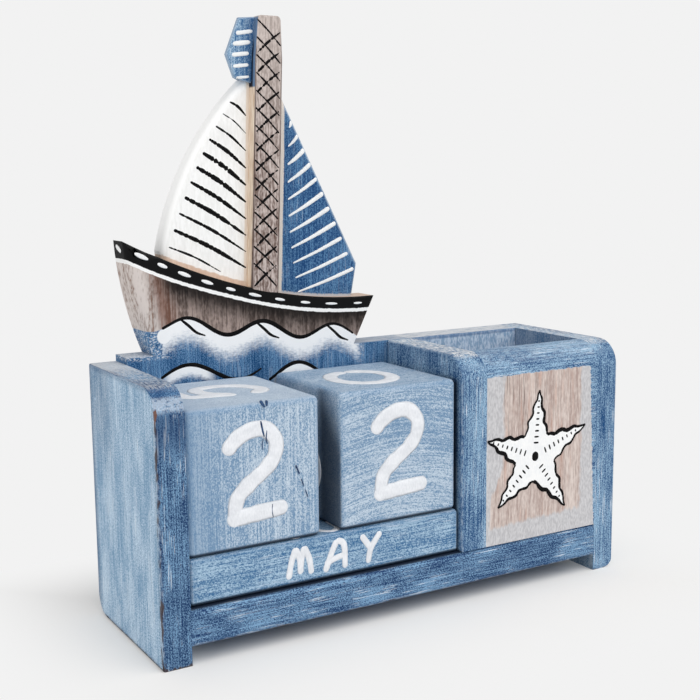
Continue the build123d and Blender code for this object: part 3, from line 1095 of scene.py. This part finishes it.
def drape(shape, plane, carrier):
    """Lowers strokes from the plane they were drawn on to the rounded front of their carrier."""
    corners = [corner.co / MM for corner in carrier.data.vertices]
    faces = [face.vertices[:] for face in carrier.data.polygons]
    front = BVHTree.FromPolygons(corners, faces)
    for corner in shape.verts:
        start = Vector((corner.co.x, plane - 50, corner.co.z))
        hit = front.ray_cast(start, Vector((0, 1, 0)))[0]
        corner.co.y += hit.y - plane if hit else 0.0


def paint(name, layers, finish, body, slot, film=0.22, carrier=None):
    """One piece from layers of strokes and their places; on a carrier they follow its front."""
    shape = bmesh.new()
    for strokes, place in layers:
        mesh = strokes_mesh(strokes, film)
        mesh.transform(place)
        shape.from_mesh(mesh)
        bpy.data.meshes.remove(mesh)
    if carrier:
        drape(shape, layers[0][1].translation.y, carrier)
    for face in shape.faces:
        face.smooth = True
    return piece(name, shape, finish, body, slot)


# %% Paints of the strokes
def stroke_paint(name, deep, pale, gloss, shine=0.2):
    """Finish of brushed paint: hair marks, a soft change of tone and a thin film's sheen."""
    here = spot(name)
    hairs = streaks(here, ALONG_Z, 0.5, 1.5)
    body = streaks(here, ALONG_X, 3.0, 5.0, shift=15.0)
    colour = blend((hairs * 0.6 + body * 0.6).rise(0.35, 0.85), deep, pale)
    return close(here, colour, gloss + hairs * 0.15, hairs, 0.05, shine)


black_paint = stroke_paint("black_paint", tone(8, 8, 9), tone(22, 21, 22), 0.5, shine=0.05)
white_paint = stroke_paint("white_paint", tone(234, 236, 238), tone(248, 248, 247), 0.5)
figure_paint = stroke_paint("figure_paint", tone(216, 219, 224), tone(237, 239, 243), 0.5)
print("black and white paints ready")

# %% [markdown]
# On the hull a row of white dabs runs along the black band, and the first one sits on the side of
# the bow. On the board, dark lines draw the waves, each with a curling tail at its crest.

# %% Band dabs
dab_count = 11
dab_start, dab_pitch, dab_stretch, dab_drop = -1.5, 7.1, 0.265, 2.5
dabs = []
for count in range(1, dab_count):
    x = bow_tip.x + dab_start + dab_pitch * count + dab_stretch * count ** 2
    middle = Vector((x, sheer(x) - dab_drop))
    half = Vector((1, sheer(x + 1) - sheer(x))) * (2.25 + 0.4 * math.sin(count * 2.3))
    thick = 1.0 - 0.05 * count
    dabs.append(((middle - half, middle + half), (thick * 0.4, thick * 1.4, thick * 0.3)))
bow_dab = [(((-2.6, 0.9), (2.6, -1.1)), (0.7, 1.2, 0.7))]
bow_place = bow_tip.x + 0.15, board_high.y - 4.8, bow_tip.y - 2.7
on_bow_side = facing(bow_place, (0, -1, 0), (0, 0, 1))
layers = [(dabs, front_plane(board_low.y)), (bow_dab, on_bow_side)]
paint("gunwale_dabs", layers, white_paint, "case", "boat_paint")

# %% Wave lines
curl = (0, 0), (3.2, -2.7), (6.2, -5.4), (9.8, -6.9)
curl_count = 3
lower_reaches = (-11, 30), (-12.5, 12.5)
lines = [([(x, wave(x)) for x in range(-75, 8, 3)], (0.5, 1.2, 0.4))]
for count in range(curl_count):
    start = wave_crest + wave_length * count - 3.2
    tail = [(start + right, wave(start) + up) for right, up in curl]
    lines.append((tail, (0.35, 0.85, 0.25)))
for crest, reach in zip(lower_crests, lower_reaches):
    steps = [crest + reach[0] + (reach[1] - reach[0]) * step / 9 for step in range(10)]
    lines.append(([(x, lower_wave(x, crest)) for x in steps], (0.5, 1.1, 0.35)))
paint("wave_lines", [(lines, front_plane(board_low.y))], black_paint, "case", "boat_paint")

# %% [markdown]
# Stripes fan across both sails, black on the white one and white on the blue one, and five white
# dashes cross the pennant. The ends of the first and last stripe are given and the loop fills in
# the others; a bulge lets the ends follow a curved edge. Stripes that would run into the gunwale
# stop short of it.

# %% Sail stripes and pennant dashes
def fan(weights, outer, inner, halves, sag=0.0, bulge=((0, 0), (0, 0)), dry=(0.1,), clear=1.0):
    """Stripes between outer and inner ends, which move from first to last along soft bows."""
    made = []
    for step, weight in enumerate(weights):
        share = step / (len(weights) - 1)
        start, end = (
            Vector(first).lerp(Vector(last), share) + Vector(bow) * 4 * share * (1 - share)
            for (first, last), bow in zip((outer, inner), bulge)
        )
        while end.y < sheer(end.x) + clear:
            end = end.lerp(start, 0.04)
        pressed = [half * weight for half in halves]
        line = start, start.lerp(end, 0.5) + Vector((0, sag)), end
        made.append((line, pressed, dry[step % len(dry)]))
    return made


black_weights = (0.7, 0.35, 0.6, 1.0, 1.15, 1.2, 1.05, 1.15, 0.8, 1.1, 0.55)
black_stripes = fan(
    black_weights, ((-43.4, 188.6), (-69.4, 136.0)), ((-37.0, 183.6), (-38.6, 120.8)),
    (0.5, 1.25, 0.25), sag=0.8, bulge=((-1.2, 2.6), (0, -0.6)), dry=(0.35, 0.5, 0.35), clear=3.2)
white_weights = (0.9, 0.8, 1.1, 1.0, 0.9, 1.0, 1.0, 1.0, 0.9, 0.85, 0.85)
white_stripes = fan(
    white_weights, ((-17.6, 182.0), (9.2, 124.2)), ((-18.9, 179.4), (-16.2, 116.3)),
    (0.95, 0.9, 0.35), sag=-0.3, bulge=((0, 1.4), (-2.2, -2.0)))
dash_weights = (1, 1.1, 1, 0.9, 0.7)
dashes = fan(
    dash_weights, ((-41.2, 213.2), (-41.4, 197.2)), ((-34.4, 214.3), (-36.2, 197.8)),
    (0.7, 1.0, 0.6), bulge=((-1.7, 0.2), (-0.8, 0.2)))
for carrier, name, strokes, colour, plane in (
    (main_sail, "main_sail_stripes", black_stripes, black_paint, sail_front),
    (jib, "jib_stripes", white_stripes, white_paint, sail_front),
    (pennant, "pennant_dashes", dashes, white_paint, pennant_front),
):
    paint(name, [(strokes, front_plane(plane))], colour, "case", "boat_paint", carrier=carrier)

# %% [markdown]
# A rope net is drawn over the mast: dark lines fall to the right, and broken ones rise across
# them.

# %% Net on the mast
line_bow = 0.4
net_film = 0.14


def across_mast(first, pitch, left_lift, right_lift, halves, dry):
    """Lines across the mast, one every pitch, from its left arris to its right one."""
    made = []
    z = first
    while z + max(left_lift, right_lift) < mast_head.y - 0.5:
        left = Vector((mast_middle(z) - head_half, z + left_lift))
        right = Vector((mast_middle(z) + head_half, z + right_lift))
        line = left, left.lerp(right, 0.5) + Vector((0, line_bow)), right
        made.append((line, halves, dry))
        z += pitch
    return made


net = across_mast(
    119.5, 6.4, left_lift=9.4, right_lift=0.0, halves=(0.35, 0.5, 0.3), dry=0.5)
net += across_mast(
    120.0, 7.2, left_lift=0.0, right_lift=7.6, halves=(0.4, 0.75, 0.3), dry=1.3)
layers = [(net, front_plane(mast_front))]
paint("mast_net", layers, black_paint, "case", "boat_paint", film=net_film)

# %% [markdown]
# A starfish fills the window of the pencil box: white arms with wavy edges, a heavy outline, rows
# of small dashes towards the tips and a dot in the middle. Each arm has its own angle and length,
# and the notches lie halfway between two arms.

# %% Starfish
star_middle = Vector((57.1, 52.2))
# Angle and length of each arm.
ARMS = ((-55, 27.2), (21, 27.3), (86, 26.2), (159, 25.0), (225, 25.6))
notch_length = 9.9
swing_width, swing_count = 0.75, 3
star_film, star_depth = 0.12, 0.3


def from_middle(length, degrees):
    """A point of the starfish at a length and an angle from its middle."""
    angle = math.radians(degrees)
    return star_middle + Vector((math.cos(angle), math.sin(angle))) * length


edge_lines = []
for count, (degrees, length) in enumerate(ARMS):
    before = ARMS[count - 1][0] - (360 if count == 0 else 0)
    after = ARMS[(count + 1) % len(ARMS)][0] + (360 if count == len(ARMS) - 1 else 0)
    tip = from_middle(length, degrees)
    for neighbour in (before, after):
        notch = from_middle(notch_length, (degrees + neighbour) / 2)
        along = tip - notch
        aside = Vector((-along.y, along.x)).normalized()
        wavy = []
        for step in range(11):
            share = step / 10
            swing = swing_width * math.sin(share * math.pi * 2 * swing_count + count)
            swing *= (1 - share) ** 0.5 * min(1, share * 4)
            wavy.append(notch + along * share + aside * swing)
        edge_lines.append(wavy)

outline = []
for rising, falling in zip(edge_lines[::2], edge_lines[1::2]):
    outline += smooth(rising, 3)[:-1] + list(reversed(smooth(falling, 3)))[:-1]
star_front = front_low.y - star_film
star = carve([tuple(point) for point in outline], star_front, front_low.y + star_depth)
piece("starfish", star, white_paint, "case", "bare_wood")

# %% Marks of the starfish
dash_count, first_dash, dash_pitch = 8, 5.4, 2.35
marks = []
for count, line in enumerate(edge_lines):
    heavy = 0.75 + 0.25 * math.cos(count * 1.9)
    marks.append((line, (0.7 * heavy, 1.2 * heavy, 0.35), 0.2))
for degrees, length in ARMS:
    side = from_middle(1, degrees + 90) - star_middle
    for step in range(dash_count):
        at = from_middle(first_dash + dash_pitch * step, degrees)
        half = side * (1.25 - 0.11 * step)
        marks.append(((at - half, at + half), (0.25, 0.5, 0.25)))
dot = Vector((0, 1.9))
marks.append(((star_middle - dot, star_middle + dot), (1.5, 1.6, 1.5)))
paint("starfish_marks", [(marks, front_plane(star_front))], black_paint, "case", "bare_wood")

# %% [markdown]
# Two cubes show every day of a month when one carries 0 to 5 and the other 0, 1, 2, 6, 7 and 8,
# because a 6 turned over serves as 9. Each figure is one or two strokes, given as points in
# millimetres from the middle of its face.

# %% Figures
zero_wide, zero_tall = 11.4, 12.6
FIGURES = {
    "0": [[
        (zero_wide * math.sin(turn * math.pi / 6) - 2.2,
         zero_tall * math.cos(turn * math.pi / 6) - 2)
        for turn in range(13)
    ]],
    "1": [[(-5, 9), (0.5, 14.5)], [(0.5, 16), (0.8, 0), (0.5, -16)]],
    "2": [
        [(-10.8, 8.6), (-9, 11.6), (-5.6, 14.4), (-0.8, 16.1), (4.2, 15.6), (7.8, 11.5),
         (7.2, 6.2), (3.5, 1.8), (-3.4, -3.2), (-7.3, -7.8), (-8.4, -16.6)],
        [(-11, -13.9), (-5, -13.5), (2, -12.9), (12, -12.3)],
    ],
    "3": [
        [(-8.5, 10), (-2, 15), (5, 13), (6.4, 7.5), (-2, 1.8)],
        [(-1, 2.4), (7.4, -3), (7, -10), (0, -14.6), (-10, -11)],
    ],
    "4": [[(4, 16), (-8.6, -4.8)], [(-11, -4.8), (11, -4.8)], [(3.8, 6), (3.8, -16)]],
    "5": [
        [(9, 16.6), (2, 15.8), (-5, 15)],
        [(-3.6, 16.5), (-4.8, 8), (-6.8, -2)],
        [(-6.4, -1), (-1.6, 5.6), (5, 8), (9.4, 5.6), (10.5, -1.6), (7.9, -8.4), (2.4, -12.8),
         (-3, -13.6), (-8.6, -8.4)],
    ],
    "6": [
        [(4, 16), (-4, 9), (-8.6, -1), (-7.8, -9), (-1.5, -14), (5.5, -12), (8.4, -6),
         (5.5, -0.4), (-1, 1), (-7, -3)],
    ],
    "7": [[(-10, 14), (9, 14)], [(8.4, 15), (1, 0), (-3, -16)]],
    "8": [
        [(0, 1), (-6.4, 6.4), (-4.6, 12.6), (1, 14.8), (6, 11.4), (5, 5.6), (0, 1), (-7, -4.6),
         (-6.8, -11), (0, -14.6), (6.8, -11), (7, -4.6), (0, 1)],
    ],
}
print("figures drawn:", ", ".join(FIGURES))

# %% Figures on the cubes
figure_half, figure_film = 2.9, 0.3


def cube_faces(node, top_view):
    """Places for drawings on the six faces of a cube: front, top, left, right, back and under."""
    low, high = box_mm(node)
    middle = (low + high) / 2
    half = (high.x - low.x) / 2
    views = (
        ((1, 0, 0), (0, 0, 1)), top_view, ((0, -1, 0), (0, 0, 1)),
        ((0, 1, 0), (0, 0, 1)), ((-1, 0, 0), (0, 0, 1)), ((1, 0, 0), (0, -1, 0)),
    )
    for right, up in views:
        yield facing(middle + Vector(right).cross(Vector(up)) * half, right, up)


turned, straight = ((0, 1, 0), (-1, 0, 0)), ((1, 0, 0), (0, 1, 0))
for side, order, top_view in (("left", "250134", turned), ("right", "206718", straight)):
    node = "date_cube_" + side
    layers = [
        ([(line, (figure_half,) * 3) for line in FIGURES[figure]], place)
        for figure, place in zip(order, cube_faces(node, top_view))
    ]
    paint(node + "_figures", layers, figure_paint, side + "_cube", "cube_paint", film=figure_film)

# %% [markdown]
# The left cube is older wood: a check runs from its top edge through the figure, and something
# has scratched it at the lower right. Both are dark blue lines, laid over the white.

# %% Checks in the left cube
check_paint = stroke_paint("check_paint", tone(18, 38, 74), tone(58, 88, 126), 0.6)
flaws = [
    ([(2.2, 18.8), (2.7, 16.0), (3.4, 13.2)], (0.25, 0.55, 0.2)),
    ([(4.4, 15.5), (4.1, 12.5), (4.5, 10.6)], (0.15, 0.3, 0.15)),
    ([(3.0, 12.6), (2.6, 10.4), (2.9, 8.8)], (0.12, 0.24, 0.12)),
    ([(6.0, -10.6), (5.8, -13.0), (6.2, -15.4)], (0.12, 0.22, 0.12)),
    ([(15.2, 1.7), (16.6, -1.6)], (0.25, 0.32, 0.2)),
    ([(17.3, -3.4), (18.3, -6.2)], (0.15, 0.25, 0.12)),
    ([(18.8, -7.4), (19.8, -10.4)], (0.12, 0.22, 0.12)),
]
low, high = box_mm("date_cube_left")
middle = (low + high) / 2
cube_front = facing((middle.x, low.y - 0.25, middle.z), (1, 0, 0), (0, 0, 1))
nicks = [
    ([(-1.0, 1.4), (-0.4, -1.6)], (0.6, 0.7, 0.3)),
    ([(1.3, 1.2), (0.5, -1.2)], (0.5, 0.5, 0.3)),
]
slope = math.sqrt(0.5)
top_arris = facing((middle.x + 4.0, low.y + 0.5, high.z - 0.5), (1, 0, 0), (0, slope, slope))
layers = [(flaws, cube_front), (nicks, top_arris)]
paint("date_cube_left_checks", layers, check_paint, "left_cube", "cube_paint")

# %% [markdown]
# Twelve months share the four long sides of the three bars. Letters are drawn the same way as the
# figures, on a square of one by one, and spaced out along the bar.

# %% Letters
LETTERS = {
    "A": [
        [(0, 0), (0.3, 0.6), (0.55, 1)], [(0.5, 1), (0.85, 0.8), (0.9, 0)],
        [(0.0, 0.25), (0.5, 0.4), (1, 0.48)],
    ],
    "B": [
        [(0.1, 0), (0.1, 1)], [(0.1, 1), (0.75, 0.9), (0.7, 0.6), (0.1, 0.52)],
        [(0.1, 0.52), (0.9, 0.4), (0.8, 0.06), (0.1, 0)],
    ],
    "C": [[(0.9, 0.8), (0.5, 1), (0.05, 0.5), (0.5, 0), (0.92, 0.2)]],
    "D": [[(0.1, 0), (0.1, 1)], [(0.1, 1), (0.85, 0.8), (0.9, 0.25), (0.1, 0)]],
    "E": [
        [(0.1, 0), (0.1, 1)], [(0.1, 1), (0.9, 1)],
        [(0.1, 0.52), (0.75, 0.52)], [(0.1, 0), (0.9, 0)],
    ],
    "F": [[(0.1, 0), (0.1, 1)], [(0.1, 1), (0.9, 1)], [(0.1, 0.55), (0.7, 0.55)]],
    "G": [
        [(0.9, 0.8), (0.5, 1), (0.05, 0.5), (0.5, 0), (0.9, 0.2)],
        [(0.9, 0.1), (0.9, 0.5)], [(1, 0.45), (0.5, 0.45)],
    ],
    "J": [[(0.8, 1), (0.8, 0.3), (0.45, 0), (0.1, 0.25)]],
    "L": [[(0.1, 1), (0.1, 0)], [(0.1, 0), (0.9, 0)]],
    "M": [
        [(0, 0), (0.12, 0.5), (0.33, 1)], [(0.3, 1), (0.5, 0.55), (0.52, 0.1)],
        [(0.5, 0.2), (0.6, 0.7), (0.7, 1)], [(0.68, 1), (0.9, 0.55), (1, 0.04)],
    ],
    "N": [[(0, 0), (0.05, 1)], [(0.05, 1), (0.95, 0)], [(0.95, 0), (1, 1)]],
    "O": [[(0.5, 1), (0.05, 0.5), (0.5, 0), (0.95, 0.5), (0.5, 1)]],
    "P": [[(0.1, 0), (0.1, 1)], [(0.1, 1), (0.85, 0.9), (0.8, 0.55), (0.1, 0.46)]],
    "R": [
        [(0.1, 0), (0.1, 1)], [(0.1, 1), (0.8, 0.9), (0.75, 0.6), (0.1, 0.5)],
        [(0.4, 0.5), (0.95, 0)],
    ],
    "S": [[(0.85, 0.85), (0.5, 1), (0.1, 0.75), (0.5, 0.5), (0.9, 0.25), (0.5, 0), (0.1, 0.15)]],
    "T": [[(0, 1), (1, 1)], [(0.5, 1), (0.5, 0)]],
    "U": [[(0.05, 1), (0.08, 0.3), (0.5, 0), (0.92, 0.3), (0.95, 1)]],
    "V": [[(0, 1), (0.5, 0)], [(0.5, 0), (1, 1)]],
    "Y": [[(0.05, 1), (0.48, 0.5)], [(0.95, 1), (0.5, 0.5), (0.35, 0)]],
}
print("letters drawn:", "".join(LETTERS))

# %% Months
MONTHS = {
    "front": ("MAY", "JUN", "JUL", "AUG"),
    "middle": ("SEP", "OCT", "NOV", "DEC"),
    "back": ("JAN", "FEB", "MAR", "APR"),
}
letter_width, letter_height, letter_pitch, letter_half = 9.2, 11.0, 14.6, 1.2
word_shift, letter_film = 1.3, 0.2


def word(text):
    """Strokes of a word, a little to the right of the middle of its face."""
    made = []
    for count, letter in enumerate(text):
        left = (count - (len(text) - 1) / 2) * letter_pitch - letter_width / 2 + word_shift
        for line in LETTERS[letter]:
            points = [(left + u * letter_width, (v - 0.5) * letter_height) for u, v in line]
            made.append((points, (letter_half,) * 3))
    return made


for row, months in MONTHS.items():
    low, high = box_mm("month_bar_" + row)
    middle = (low + high) / 2
    layers = []
    for month, up in zip(months, ((0, 0, 1), (0, 1, 0), (0, 0, -1), (0, -1, 0))):
        outward = Vector((1, 0, 0)).cross(Vector(up)) * (high.z - low.z) / 2
        layers.append((word(month), facing(middle + outward, (1, 0, 0), up)))
    letters = "month_bar_" + row + "_letters"
    paint(letters, layers, figure_paint, row + "_bar", "bar_paint", film=letter_film)
